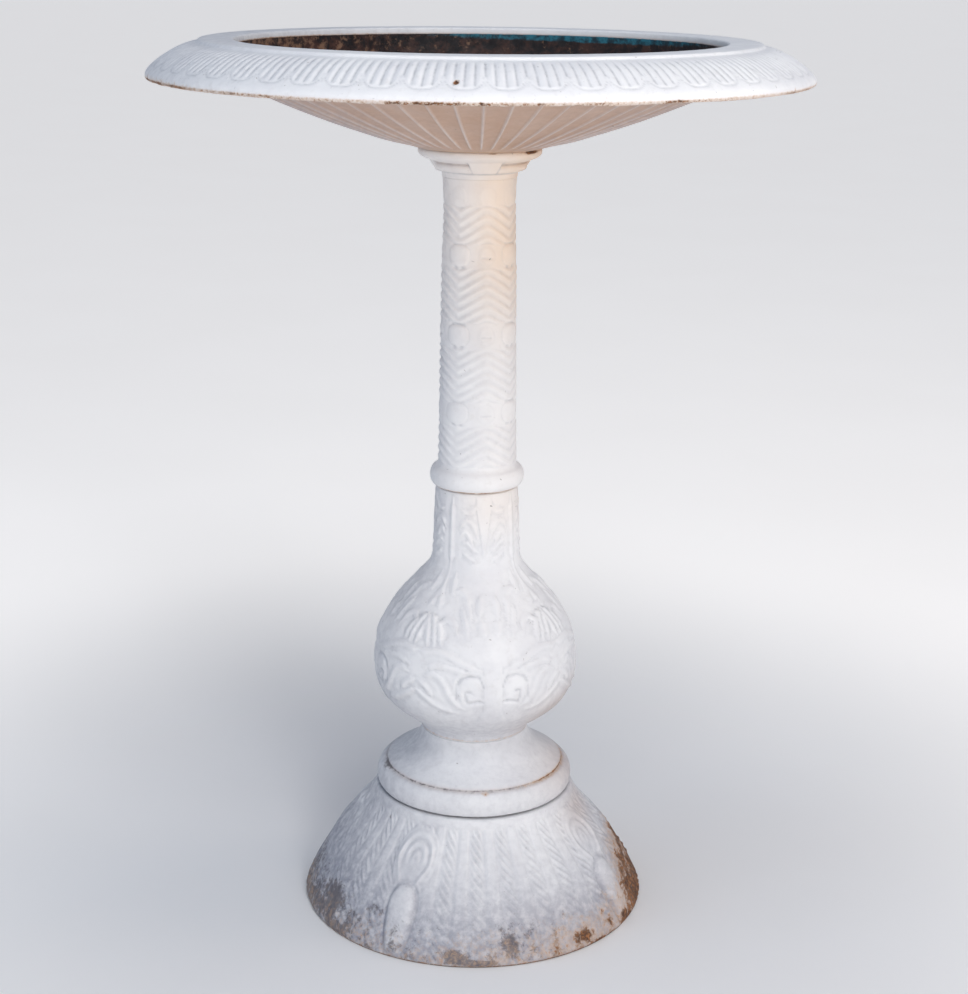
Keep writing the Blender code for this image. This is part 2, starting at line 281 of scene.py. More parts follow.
def basin_outline():
    """Lip, step, drooping rim, pocket behind it, petalled cone and the bowl's inside."""
    lip = arc(BOWL_RADIUS + 0.0020, LIP_HEIGHT - 0.0020, 0.0020, 170.0, 90.0, 4)
    band = even([(BOWL_RADIUS + 0.0020, LIP_HEIGHT), (0.2396, LIP_HEIGHT - 0.0001)], 0.0055)
    step = [(0.2404, 0.7995), (0.2411, 0.7985), (0.2417, 0.7976), (0.2425, 0.7972)]
    ovolo = curve([(0.2425, 0.7972), (0.2500, 0.7957), (0.2600, 0.7919), (0.2700, 0.7861),
                   (0.2785, 0.7799), (0.2842, 0.7738), (0.2858, 0.7700)], 1.25 * MM)
    edge = arc(RIM_RADIUS - 0.0026, 0.7697, 0.0026, -8.0, -150.0, 5)
    behind = [(0.2775, 0.7722), (0.2740, 0.7755), (0.2650, 0.7810), (0.2555, 0.7862),
              (0.2440, 0.7904), (0.2300, 0.7922), (0.2200, 0.7905), (0.2177, 0.7860),
              (0.2175, 0.7720)]
    cone = curve([(0.2130, 0.7672), (0.1800, 0.7528), (0.1400, 0.7370), (0.0985, 0.7228),
                  (0.0600, 0.7107)], 7.5 * MM)
    under = [(0.0575, 0.7101), (0.0555, 0.7096), (0.0540, 0.7092), (0.0420, 0.7092),
             (0.0075, 0.7092), (0.0075, 0.7195)]
    floor = [(0.0350, 0.7195), (0.0620, 0.7195)]
    inside = even([(0.0700, 0.7220), (0.2000, 0.7673)], 16.0 * MM)
    wall = curve([(0.2050, 0.7698), (0.2085, 0.7735), (0.2100, 0.7790), (0.2105, 0.7860),
                  (0.2105, 0.7960)], 3.4 * MM)
    return joined(lip, band, step, ovolo, edge, behind, cone, under, floor, inside, wall)


def rim_relief(grid):
    """Tongues side by side, each a U with ribs inside it, below the step and above a plain margin."""
    lobe = 360.0 / LOBES
    u = ((grid.view - LOBE_START) / lobe) % 1.0
    rib = (u * RIBS_PER_LOBE) % 1.0
    # the U's outline: full height at the lobe's middle, cut off towards its sides
    centred = np.abs(u - 0.5) * 2.0
    bottom = TONGUE_BOTTOM + 0.0068 * np.clip(centred, 0.0, 1.0) ** 3.2
    on_front = (grid.normal_r + grid.normal_z > 0.2) & (grid.z < 0.7975) & (grid.r > 0.2415)
    top_fade = ease(grid.z, TONGUE_TOP, 0.7950)
    inside_u = ease(grid.z, bottom + 0.0006, bottom + 0.0030)
    groove = bump(rib - np.round(rib), 0.20)
    inner = -TONGUE_GROOVE * groove * inside_u * top_fade
    border = bump(grid.z - bottom, 0.00085)
    border = -TONGUE_BORDER * border * ease(centred, 1.0, 0.86)
    spandrel = bump(u - np.round(u), 0.035) * ease(grid.z, 0.7800, 0.7822)
    spandrel = -SPANDREL_CUT * spandrel * ease(grid.z, 0.7865, 0.7845)
    return np.where(on_front, inner + border + spandrel, 0.0)


def petal_relief(grid):
    """Shallow petals under the bowl, parted by thin raised ribs."""
    petal = 360.0 / LOBES
    u = ((grid.view - LOBE_START) / petal) % 1.0
    offset = (u - np.round(u)) * math.radians(petal) * grid.r
    on_cone = (grid.normal_z < -0.5) & (grid.r > 0.0570) & (grid.r < 0.2160)
    reach = ease(grid.r, 0.0600, 0.0900)
    rib = PETAL_RIB * bump(offset, 1.2 * MM)
    sag = -PETAL_SAG * np.sin(math.pi * u) ** 2
    return np.where(on_cone, (rib + sag) * reach, 0.0)


def basin():
    """Bowl and rim with their relief, chips, stains, painted shade and painted warm light under and beside
    the rim, and the crust inside.
    """
    grid = Turned(basin_outline(), 20 * LOBES)
    front = (grid.r > 0.2415) & (grid.normal_r + grid.normal_z > -0.4)
    grid.height = rim_relief(grid) + petal_relief(grid)
    hollow = grid.hollows(5)
    # the lower edge is nibbled away here and there
    edge = ease(grid.z, 0.7730, 0.7690) * (grid.r > 0.270)
    points = grid.points()
    nibble = ease(layered_noise(points, 0.0055, 11), 0.05, 0.75)
    ripple = layered_noise(points, 0.055, 12)
    grid.height = grid.height - edge * (0.8 * MM * nibble + 0.5 * MM * (ripple + 1.0))
    inside = (grid.r < BOWL_RADIUS + 0.001) & (grid.z > 0.7190) & (grid.normal_z >= -0.3)
    rough_in = np.where(inside, 0.5 * MM, 0.14 * MM)
    grid.height = grid.height + rough_in * layered_noise(points, 0.009, 13)
    grid.height = np.where(grid.z > 0.7985, np.minimum(grid.height, 0.0), grid.height)
    pit = patch(grid, -12.5, 0.7840, 0.40, 0.0014) * front
    grid.height = grid.height - PIT_DEPTH * pit

    chip = ease(layered_noise(points, 0.0045, 14), 0.25, 0.8)
    worn = ease(layered_noise(points, 0.040, 15), -0.35, 0.55)
    lowest = ease(grid.z, 0.7718, 0.7694) * (grid.r > 0.272)
    band_chips = 0.50 * ease(grid.z, 0.7760, 0.7712) * (grid.r > 0.272) * chip * worn
    # painted shade in the grooves of the rim, deeper where the surface lies deeper
    grid.marks["hollow"] = hollow / (0.60 * MM) * front
    joint = ease(grid.r, 0.0690, 0.0570) * (grid.z < 0.7180)
    outer_rust = (lowest * (0.30 + 0.32 * worn * (0.3 + 0.7 * nibble)) + band_chips + 1.1 * pit
                  + 0.20 * patch(grid, -75.0, 0.7715, 16.0, 0.003) + 0.30 * joint)
    depth_in = ease(grid.z, 0.7965, 0.7935)
    left_rear = bump(wrap(grid.view + 118.0), 48.0)
    grid.marks["rust"] = np.where(inside, depth_in * left_rear, outer_rust)
    # painted light under the rim and cone: warm tan for light bounced up from the floor, less on the raised
    # ribs, grey painted shade under the overhang, and painted shade on the left and right; the tan at the
    # lower edge is a rust stain
    under = (grid.r < 0.2800) & (grid.z < 0.7935) & (grid.normal_z < 0.0)
    rib = ease(grid.height, 0.4 * MM, 1.6 * MM)
    grid.marks["stain_and_warm_bounce"] = np.where(under, 0.97 - 0.42 * rib, 0.30 * lowest)
    grid.marks["grime_and_shade"] = np.where(under & (grid.r > 0.2200), 0.20, 0.15 * front)
    left = side(grid, -110.0, 30.0, 100.0)
    grid.marks["shade_and_dirt"] = np.where(under, 0.14 + 0.36 * left + 0.20 * side(grid, 80.0, 30.0, 80.0),
                                  0.32 * side(grid, -110.0, 20.0, 75.0))
    grid.marks["bowl"] = np.where(inside, depth_in, 0.0)
    right_rear = bump(wrap(grid.view - 142.0), 50.0)
    grid.marks["teal"] = np.where(inside, right_rear * ease(grid.z, 0.7845, 0.7925), 0.0)
    return grid


# ---- capital -------------------------------------------------------
TAB_FOOT = 0.6895


def capital():
    """Two rolls with four keystone tabs that run down flush from the upper roll."""
    outer = curve([(0.0528, 0.7091), (0.0539, 0.7080), (0.0543, 0.7058), (0.0535, 0.7035),
                   (0.0510, 0.7014), (0.0478, 0.7000), (0.0452, 0.6990), (0.0430, 0.6984)],
                  0.5 * MM)
    lower = curve([(0.0412, 0.6979), (0.0404, 0.6970), (0.0412, 0.6959), (0.0418, 0.6944),
                   (0.0416, 0.6926), (0.0405, 0.6910), (0.0385, 0.6899), (0.0356, 0.6890),
                   (0.0338, 0.6880), (0.0331, 0.6860), (0.0329, 0.6840)], 0.45 * MM)
    inner = even([(0.0245, 0.6841), (0.0245, 0.6778), (0.0180, 0.6778), (0.0180, 0.7072)], 6 * MM)
    rest = [(0.0300, 0.7072), (0.0475, 0.7072), (0.0480, 0.7091)]
    grid = Turned(joined(rest, outer, lower, inner), 320, CAPITAL_TURN)
    across = np.radians(fold(grid.relief_angle, 4)) * 0.042
    above_foot = grid.z - TAB_FOOT
    half = 0.0112 + above_foot * 0.36
    tab = ease(across, half + 0.0007, half - 0.0007)
    outside = (grid.r > 0.0330) & (grid.z > 0.6845)
    # a tab's face runs straight from the upper roll to the foot of the lower one
    face = 0.0388 + above_foot * 0.62
    band = ease(grid.z, 0.6893, 0.6899) * ease(grid.z, 0.7006, 0.6998)
    grid.push = np.where(outside, tab * band * (face - grid.r), 0.0)
    seam = bump(across - half, 0.0007) * band * outside
    grid.height = -0.35 * MM * seam
    groove = bump(grid.z - 0.6974, 0.0010) * (1.0 - tab) * outside
    under = bump(grid.z - 0.6892, 0.0009) * outside
    roughen(grid, 0.16 * MM, 0.010, 21)
    # painted shade in the seams, the groove and under the lower roll
    grid.marks["hollow"] = 0.8 * seam + groove + 0.8 * under
    grid.marks["rust"] = (0.68 * patch(grid, 46.0, 0.7080, 16.0, 0.0018)
                          + 0.42 * patch(grid, 3.0, 0.7085, 5.0, 0.0008)
                          + 0.30 * patch(grid, 62.0, 0.6980, 24.0, 0.002))
    # painted warm light: cream and tan towards the right; painted shade on the left; grime and painted
    # shade in the groove
    toward_right = side(grid, 75.0, 30.0, 120.0)
    grid.marks["cream_and_warm_light"] = 0.30 + 0.65 * toward_right
    grid.marks["stain_and_warm_bounce"] = 0.30 * groove + 0.35 * side(grid, 85.0, 15.0, 55.0)
    grid.marks["shade_and_dirt"] = 0.12 * side(grid, -110.0, 30.0, 90.0)
    grid.marks["grime_and_shade"] = 0.10 * groove
    return grid


# ---- column shaft --------------------------------------------------
ZIGZAG_BLOCKS = ((0.4275, 0.4655), (0.4870, 0.5355), (0.5590, 0.6070), (0.6280, 0.6610))
BOSS_ROWS = (0.4765, 0.5470, 0.6175)
RIB_PITCH = 8.7 * MM
RIB_LIFT = 0.92 * MM
SHIELD_LIFT = 2.5 * MM
PAD_LIFT = 1.0 * MM
NOTCH_CUT = 1.5 * MM
CROWN_CUT = 0.8 * MM
ZIGZAG_DROP = 14.8 * MM       # from a peak to the valley beside it
FLANK_SPAN = 39.4             # degrees
PEAK_ROUND = 6.0
VALLEY_ROUND = 4.0


def shaft():
    """Slender tube: blocks of zigzag ribs with rows of bosses between, and a plain ring below."""
    outer = curve([(0.0328, 0.6840), (0.0324, 0.6800), (0.0329, 0.6000), (0.0336, 0.5400),
                   (0.0345, 0.4800), (0.0351, 0.4360), (0.0353, 0.4290)], 0.86 * MM)
    ring = curve([(0.0353, 0.4285), (0.0357, 0.4262), (0.0374, 0.4238), (0.0403, 0.4215),
                  (0.0424, 0.4178), (0.0429, 0.4135), (0.0420, 0.4092), (0.0396, 0.4062),
                  (0.0376, 0.4052), (0.0366, 0.4049)], 0.86 * MM)
    inner = [(0.0290, 0.4049), (0.0290, 0.3986), (0.0248, 0.3986), (0.0248, 0.5400),
             (0.0248, 0.6838)]
    grid = Turned(joined(outer, ring, inner), 256, SHAFT_TURN)
    outside = grid.r > 0.0300
    a = fold(grid.relief_angle, 4)
    # straight flanks between rounded peaks at 0 and rounded valleys at 45 degrees
    flank = np.hypot(a, PEAK_ROUND) - PEAK_ROUND
    flank = FLANK_SPAN - (np.hypot(FLANK_SPAN - flank, VALLEY_ROUND) - VALLEY_ROUND)
    drop = ZIGZAG_DROP * flank / FLANK_SPAN
    phase = (grid.z + drop) / RIB_PITCH
    wave = np.cos(phase * math.tau)
    ribs = np.where(wave > 0.0, wave ** 0.8, wave * 0.8)
    ribbed = np.zeros(grid.shape)
    for low, high in ZIGZAG_BLOCKS:
        ribbed = np.maximum(ribbed, ease(grid.z, low - 0.0005, low + 0.0015)
                            * ease(grid.z, high + 0.0005, high - 0.0015))
    clear = np.zeros(grid.shape)
    bosses = np.zeros(grid.shape)
    for middle in BOSS_ROWS:
        # broad rounded shield in each valley, with two notches under it
        x = (45.0 - a) / 19.0
        y = (grid.z - middle - 0.0005) / 0.0098
        round_y = np.where(y > 0.0, np.abs(y) ** 3.0, np.abs(y) ** 2.0)
        shield = np.clip(1.0 - np.abs(x) ** 2.4 - round_y, 0.0, 1.0) ** 0.55
        notch = (bump(45.0 - a - 6.5, 4.5)
                 * bump(grid.z - middle + 0.0098, 0.0020))
        crown = bump(grid.z - middle - 0.0108, 0.0013) * ease(x, 0.85, 0.55)
        # small pad with a slit at each peak
        peak = np.hypot(a / 12.0, (grid.z - middle - 0.0010) / 0.0080)
        tongue = ease(peak, 1.15, 0.70)
        slit = bump(grid.z - middle + 0.0008, 0.0013) * ease(a, 12.0, 7.0)
        bosses += SHIELD_LIFT * shield + PAD_LIFT * tongue
        bosses -= PAD_LIFT * slit * tongue + NOTCH_CUT * notch + CROWN_CUT * crown
        clear = np.maximum(clear, np.maximum(ease(shield, 0.0, 0.45), tongue))
        clear = np.maximum(clear, np.exp(-((grid.z - middle) / 0.0070) ** 6) * ease(a, 4.0, 12.0))
    tips = np.hypot(fold(grid.relief_angle, 8) / 15.0, (grid.z - 0.6690) / 0.0095)
    top_leaf = 0.35 * MM * ease(tips, 1.0, 0.7) * ease(grid.z, 0.6600, 0.6640)
    wear = 0.72 + 0.28 * layered_noise(grid.points(), 0.040, 31)
    grid.height = np.where(outside, RIB_LIFT * ribs * ribbed * (1.0 - clear) * wear
                           + bosses * wear + top_leaf, 0.0)
    hollow = grid.hollows(5)
    roughen(grid, 0.13 * MM, 0.008, 32)
    # painted shade between the ribs and round the bosses
    grid.marks["hollow"] = hollow / (0.85 * MM)
    ring_line = bump(grid.z - 0.4058, 0.0011)
    grid.marks["rust"] = 0.42 * ring_line * outside
    # painted warm light on the upper shaft under the bowl and towards the right, also warming the rust
    # line's stain there; painted shade on the left and right sides
    toward_right = side(grid, 75.0, 30.0, 130.0)
    grid.marks["cream_and_warm_light"] = ((0.25 + 0.75 * toward_right) * ease(grid.z, 0.5000, 0.6500)
                           + 0.12 * toward_right)
    grid.marks["stain_and_warm_bounce"] = 0.40 * ring_line * (0.4 + 0.6 * toward_right)
    grid.marks["shade_and_dirt"] = (0.18 * side(grid, -120.0, 30.0, 75.0)
                          + 0.12 * side(grid, 80.0, 15.0, 60.0) * ease(grid.z, 0.4500, 0.6500))
    return grid


# ---- gourd ---------------------------------------------------------
def merge(first, second):
    """The stronger of two reliefs at each point."""
    return np.where(np.abs(second) > np.abs(first), second, first)


SCROLL_ARCH = ((20.8, 0.2290), (21.3, 0.2370), (19.5, 0.2450), (15.5, 0.2502), (10.5, 0.2508),
               (6.8, 0.2475), (5.4, 0.2410))
SCROLL_HOOK = ((5.2, 0.2265), (8.5, 0.2275), (12.0, 0.2265), (15.0, 0.2285), (15.8, 0.2335),
               (13.0, 0.2365), (10.8, 0.2345))
# Raised lines of the scrollwork in one eighth of the bulb, as (degrees from the face, height)
BELLY_STROKES = (
    ((6.5, 0.2560), (12.0, 0.2590), (17.0, 0.2620), (25.0, 0.2675), (33.0, 0.2708),
     (42.0, 0.2695), (47.0, 0.2710)),
    ((14.0, 0.2545), (22.0, 0.2570), (31.0, 0.2585), (40.0, 0.2555)),
    ((40.0, 0.2470), (33.0, 0.2500), (27.7, 0.2430), (24.6, 0.2330), (21.0, 0.2250),
     (16.0, 0.2195)),
    ((46.0, 0.2350), (39.0, 0.2280), (31.0, 0.2200), (20.0, 0.2150)),
    ((44.0, 0.2430), (38.0, 0.2370), (34.0, 0.2290)),
)
SHOULDER_STROKES = (
    ((31.0, 0.3150), (27.0, 0.3180), (22.0, 0.3165), (17.5, 0.3115), (15.4, 0.3020),
     (12.0, 0.2910)),
    ((38.0, 0.2870), (34.0, 0.2935), (29.0, 0.2955), (24.0, 0.2915), (21.5, 0.2840)),
    ((21.0, 0.3060), (18.0, 0.2980), (15.0, 0.2840)),
    ((6.2, 0.2970), (5.4, 0.2910), (4.2, 0.2850)),
    ((8.0, 0.3120), (6.5, 0.3060), (6.8, 0.2990)),
    ((45.0, 0.3370), (45.5, 0.3250), (43.5, 0.3140), (39.5, 0.3040)),
    ((35.0, 0.3300), (34.0, 0.3220), (31.0, 0.3150)),
)
LEAF_STROKES = (
    ((37.5, 0.2940), (33.5, 0.2860), (31.5, 0.2765)),
    ((42.5, 0.2985), (38.0, 0.2880), (35.8, 0.2755)),
    ((47.5, 0.2990), (43.0, 0.2880), (40.5, 0.2750)),
)
NECK_STROKES = (
    ((9.0, 0.3640), (13.0, 0.3730), (20.0, 0.3785), (29.0, 0.3770), (34.0, 0.3710)),
    ((15.0, 0.3570), (20.0, 0.3650), (27.0, 0.3690), (32.0, 0.3650)),
    ((8.0, 0.3500), (15.0, 0.3535), (23.0, 0.3590), (30.0, 0.3570)),
    ((12.0, 0.3420), (20.0, 0.3450), (28.0, 0.3500)),
    ((9.0, 0.3960), (14.0, 0.3900), (22.0, 0.3870), (31.0, 0.3890)),
    ((45.0, 0.4000), (45.0, 0.3800), (45.0, 0.3560), (45.0, 0.3360)),
)


def gourd():
    """Neck and bulb covered in low scrollwork that mirrors about each of four faces."""
    neck = curve([(0.0372, 0.4044), (0.0375, 0.3960), (0.0388, 0.3680), (0.0398, 0.3450),
                  (0.0406, 0.3385), (0.0424, 0.3325), (0.0455, 0.3270), (0.0511, 0.3200),
                  (0.0585, 0.3120), (0.0659, 0.3040), (0.0723, 0.2960), (0.0783, 0.2880),
                  (0.0835, 0.2800), (0.0876, 0.2720), (0.0905, 0.2640), (0.0927, 0.2520),
                  (0.0937, 0.2380), (0.0935, 0.2280), (0.0922, 0.2200), (0.0895, 0.2120),
                  (0.0851, 0.2040), (0.0779, 0.1960), (0.0679, 0.1880), (0.0574, 0.1800),
                  (0.0512, 0.1735), (0.0496, 0.1692)], 1.1 * MM)
    inner = [(0.0293, 0.1692), (0.0293, 0.1790), (0.0430, 0.1790), (0.0560, 0.1880),
             (0.0760, 0.2040), (0.0850, 0.2220), (0.0850, 0.2520), (0.0790, 0.2740),
             (0.0620, 0.2970), (0.0420, 0.3180), (0.0293, 0.3500), (0.0293, 0.4044)]
    grid = Turned(joined(neck, inner), 360, GOURD_TURN)
    grid.outer = len(neck)
    outside = np.zeros(grid.shape)
    outside[:grid.outer - 1] = 1.0
    a = fold(grid.relief_angle, 4)
    lift = np.zeros(grid.shape)
    for strokes, width, raised in ((BELLY_STROKES, 3.1 * MM, 1.5 * MM),
                                   (SHOULDER_STROKES, 3.6 * MM, 1.15 * MM),
                                   (LEAF_STROKES, 3.7 * MM, 2.2 * MM),
                                   (NECK_STROKES, 2.5 * MM, 1.1 * MM)):
        for points in strokes:
            lift = merge(lift, stroke(grid, a, points, width, raised))
    # each scroll is a domed disc parted from the ground by a groove that hooks in from the stem
    eye = np.hypot((a - 13.0) / 7.2, (grid.z - 0.2365) / 0.0140)
    lift = merge(lift, 1.15 * MM * ease(eye, 1.02, 0.55))
    for points, depth in ((SCROLL_ARCH, 1.8 * MM), (SCROLL_HOOK, 1.6 * MM)):
        lift = lift + stroke(grid, a, points, 2.0 * MM, -depth)
    stem_width = 4.6 + 5.0 * ease(grid.z, 0.2220, 0.1980)
    stem = ease(a, stem_width + 0.8, stem_width - 0.6) * ease(grid.z, 0.1980, 0.2060)
    stem = stem * ease(grid.z, 0.2630, 0.2570)
    lift = merge(lift, 0.9 * MM * stem)
    tongue_width = 1.5 + 9.0 * ease(grid.z, 0.3450, 0.4000)
    tongue = ease(a, tongue_width + 1.0, tongue_width - 0.5) * ease(grid.z, 0.3440, 0.3500)
    lift = merge(lift, 0.7 * MM * tongue * ease(grid.z, 0.4040, 0.3990))
    wear = 0.78 + 0.35 * layered_noise(grid.points(), 0.050, 41)
    grid.height = lift * wear * outside
    hollow = grid.hollows(6)
    roughen(grid, 0.20 * MM, 0.014, 42)
    roughen(grid, 0.09 * MM, 0.005, 43)
    # painted shade in the grooves of the scrollwork
    grid.marks["hollow"] = hollow / (0.85 * MM) * outside
    # painted shade on the left, on the lower right and on the underside of the bulb
    grid.marks["shade_and_dirt"] = (0.04 + 0.28 * side(grid, -120.0, 25.0, 82.0)
                          + 0.20 * side(grid, 95.0, 20.0, 65.0) * ease(grid.z, 0.2900, 0.2400)
                          + 0.30 * ease(grid.z, 0.2450, 0.1850)) * outside
    # painted warm light on the upper neck towards the right
    grid.marks["cream_and_warm_light"] = 0.35 * ease(grid.z, 0.3450, 0.4000) * side(grid, 60.0, 50.0, 120.0)
    grid.marks["rust"] = 0.30 * bump(grid.z - 0.1700, 0.0022) * outside
    # painted warm bounce light on the lower right of the bulb; grime and painted shade where the neck meets
    # the plinth
    grid.marks["stain_and_warm_bounce"] = 0.62 * patch(grid, 66.0, 0.1960, 36.0, 0.024)
    grid.marks["grime_and_shade"] = 0.12 * ease(grid.z, 0.1800, 0.1700) * outside
    return grid


# ---- plinth --------------------------------------------------------
def plinth():
    """Smooth ogee dome over a torus."""
    outer = curve([(0.0497, 0.1688), (0.0499, 0.1664), (0.0508, 0.1630), (0.0530, 0.1590),
                   (0.0562, 0.1548), (0.0600, 0.1513), (0.0645, 0.1476), (0.0700, 0.1438),
                   (0.0755, 0.1404), (0.0800, 0.1380), (0.0822, 0.1364)], 0.9 * MM)
    groove = [(0.0826, 0.1356), (0.0824, 0.1349), (0.0828, 0.1343)]
    torus = curve([(0.0836, 0.1342), (0.0862, 0.1330), (0.0890, 0.1302), (0.0912, 0.1260),
                   (0.0921, 0.1210), (0.0917, 0.1165), (0.0900, 0.1132), (0.0880, 0.1118)],
                  0.9 * MM)
    inner = [(0.0820, 0.1115), (0.0447, 0.1115), (0.0447, 0.1052), (0.0390, 0.1052),
             (0.0390, 0.1152), (0.0700, 0.1192), (0.0700, 0.1282), (0.0500, 0.1452),
             (0.0200, 0.1588), (0.0200, 0.1748), (0.0290, 0.1748), (0.0290, 0.1688)]
    grid = Turned(joined(outer, groove, torus, inner), 256)
    roughen(grid, 0.32 * MM, 0.022, 51)
    roughen(grid, 0.12 * MM, 0.006, 52)
    outside = grid.r > 0.0492
    line = bump(grid.z - 0.1352, 0.0015) * outside
    foot = bump(grid.z - 0.1122, 0.0014) * outside
    # painted shade in the groove over the torus and along its foot
    grid.marks["hollow"] = 0.9 * line + 0.9 * foot
    grid.marks["rust"] = (0.50 * line * side(grid, 80.0, 30.0, 80.0)
                          + 0.35 * patch(grid, -2.0, 0.1335, 3.0, 0.0012))
    # stains on the groove line, and painted warm light on the right of the torus
    grid.marks["stain_and_warm_bounce"] = 0.30 * line + 0.40 * patch(grid, 74.0, 0.1300, 34.0, 0.018)
    # grime, and painted shade in the crease at the foot and in the groove
    grid.marks["grime_and_shade"] = (0.75 * foot + 0.35 * line
                          + 0.30 * patch(grid, -84.0, 0.1325, 9.0, 0.003))
    # darker overall, with painted shade on the left, on the torus's right and towards its underside
    grid.marks["shade_and_dirt"] = (0.20 + 0.28 * side(grid, -120.0, 25.0, 85.0)
                          + 0.10 * ease(grid.z, 0.1350, 0.1150)
                          + 0.26 * side(grid, 100.0, 20.0, 60.0) * ease(grid.z, 0.1400, 0.1340)) * outside
    return grid


# ---- skirt base ----------------------------------------------------
REED_LIFT = 2.0 * MM
GROUND_SINK = 1.0 * MM        # how far the reeds' ground lies below the plain outline
PANEL_LIFT = 1.9 * MM
ARCH_LIFT = 1.5 * MM
ARCH_BASE = 0.0560
ARCH_HEIGHT = 0.0440
BUD_LIFT = 5.2 * MM
BUD_CENTRE = 0.0400
RING_CENTRE = 0.0760
INSIDE_RUST = 0.6


def skirt():
    """Bell foot: reeds and rope bands by turns down to the floor, with four corner ornaments."""
    bell = curve([(0.0905, 0.1111), (0.0925, 0.1105), (0.0940, 0.1080), (0.0965, 0.1000),
                  (0.1014, 0.0920), (0.1077, 0.0840), (0.1147, 0.0760), (0.1218, 0.0680),
                  (0.1286, 0.0600), (0.1345, 0.0520), (0.1392, 0.0440), (0.1437, 0.0360),
                  (0.1484, 0.0280), (0.1529, 0.0200), (0.1569, 0.0120), (0.1600, 0.0055),
                  (0.1610, 0.0022), (0.1603, 0.0000)], 1.5 * MM)
    inner = [(0.1508, 0.0000), (0.1500, 0.0060), (0.1400, 0.0280), (0.1290, 0.0470),
             (0.1150, 0.0640), (0.1010, 0.0820), (0.0920, 0.0970), (0.0850, 0.1032),
             (0.0450, 0.1032), (0.0450, 0.1112)]
    grid = Turned(joined(bell, inner), 896, FOOT_TURN)
    outside = np.zeros(grid.shape)
    outside[:len(bell) - 1] = 1.0
    strip = 360.0 / LOBES
    place = (grid.relief_angle / strip) % 2.0
    offset = (place % 1.0 - 0.5) * 2.0
    is_rope = place >= 1.0
    reed = REED_LIFT * (1.0 - np.abs(offset) ** 4.0)
    hatch = np.cos(math.tau * (grid.along / 0.0090 - 0.9 * offset))
    rope = reed * (0.62 + 0.46 * np.clip(hatch + 0.25, -1.0, 1.0))
    relief = np.where(is_rope, rope, reed) - GROUND_SINK
    body = ease(grid.z, 0.1036, 0.1024)
    collar_line = -0.6 * MM * bump(grid.z - 0.1034, 0.0008)
    # corner ornaments: nested arches over a raised oval bud
    corner = fold(grid.relief_angle - 45.0, 4)
    across = np.radians(corner) * grid.r
    tall = (grid.z - ARCH_BASE) / ARCH_HEIGHT
    half_width = 0.0205 * np.sqrt(np.clip(1.0 - np.clip(tall, 0.0, 1.0) ** 2.4, 0.0, 1.0))
    half_width = half_width * (0.35 + 0.65 * ease(tall, -0.1, 0.5))
    up = grid.z - RING_CENTRE
    ring = np.hypot(across / 0.0195, np.where(up > 0.0, up, -0.9 * up) / 0.0240)
    arches = (0.5 + 0.5 * np.cos((ring - 0.12) * math.tau * 3.0)) * ease(ring, 1.08, 0.98)
    arches = arches * ease(grid.z, 0.0690, 0.0830)
    panel = ease(ring, 1.12, 0.98) * ease(grid.z, 0.0500, 0.0640)
    sides = bump(across - half_width * 0.86, 0.0020) * ease(grid.z, 0.0500, 0.0600)
    up = grid.z - BUD_CENTRE
    bud = np.hypot(across / 0.0132, np.where(up > 0.0, up, -0.46 * up) / 0.0185)
    bud_shape = np.clip(1.0 - bud ** 2.6, 0.0, 1.0) ** 0.45
    bud_clear = ease(bud, 1.34, 1.02)
    free = (1.0 - panel) * (1.0 - bud_clear)
    lift = relief * body * free + collar_line * free
    lift += panel * (ARCH_LIFT * arches + PANEL_LIFT)
    lift += 1.4 * MM * sides * panel * ease(grid.z, 0.0900, 0.0760)
    lift = np.maximum(lift, BUD_LIFT * bud_shape * (bud < 1.0))
    lift -= 1.2 * MM * bump(bud - 1.14, 0.10)
    # a small arch at the foot of each face's middle
    middle = np.radians(fold(grid.relief_angle, 4)) * grid.r
    small = np.hypot(middle / 0.0120, (grid.z - 0.0120) / 0.0215)
    lift += 1.6 * MM * bump(small - 0.92, 0.13) * ease(grid.z, 0.0080, 0.0150)
    lift -= 1.3 * MM * ease(small, 0.90, 0.70)
    # two lumps left by the mould on the left
    lift += 2.2 * MM * patch(grid, -100.0, 0.1010, 7.0, 0.0045)
    lift += 3.2 * MM * patch(grid, -101.0, 0.0865, 9.0, 0.0060)
    wear = 0.80 + 0.30 * layered_noise(grid.points(), 0.035, 61)
    grid.height = lift * wear * outside * ease(grid.z, 0.0, 0.004)
    hollow = grid.hollows(6)
    roughen(grid, 0.30 * MM, 0.010, 62)
    points = grid.points()
    pitted = ease(layered_noise(points, 0.013, 63), 0.30, 0.85) * ease(grid.z, 0.0500, 0.0050)
    grid.height = grid.height - 0.8 * MM * pitted * outside * ease(grid.z, 0.0, 0.003)
    limit = FOOT_RADIUS - 0.0003 - grid.r
    grid.height = np.where(grid.z < 0.02, np.minimum(grid.height, limit / np.maximum(grid.normal_r, 0.2)),
                           grid.height)
    grid.height = grid.height * ease(grid.z, 0.0, 0.003)

    low = ease(grid.z, 0.0700, 0.0)
    left = side(grid, -120.0, 25.0, 105.0)
    right = side(grid, 100.0, 20.0, 65.0)
    rear = side(grid, 180.0, 40.0, 90.0)
    patchy = 0.5 + 0.5 * layered_noise(points, 0.026, 64)
    blotchy = ease(layered_noise(points, 0.011, 66), -0.25, 0.55)
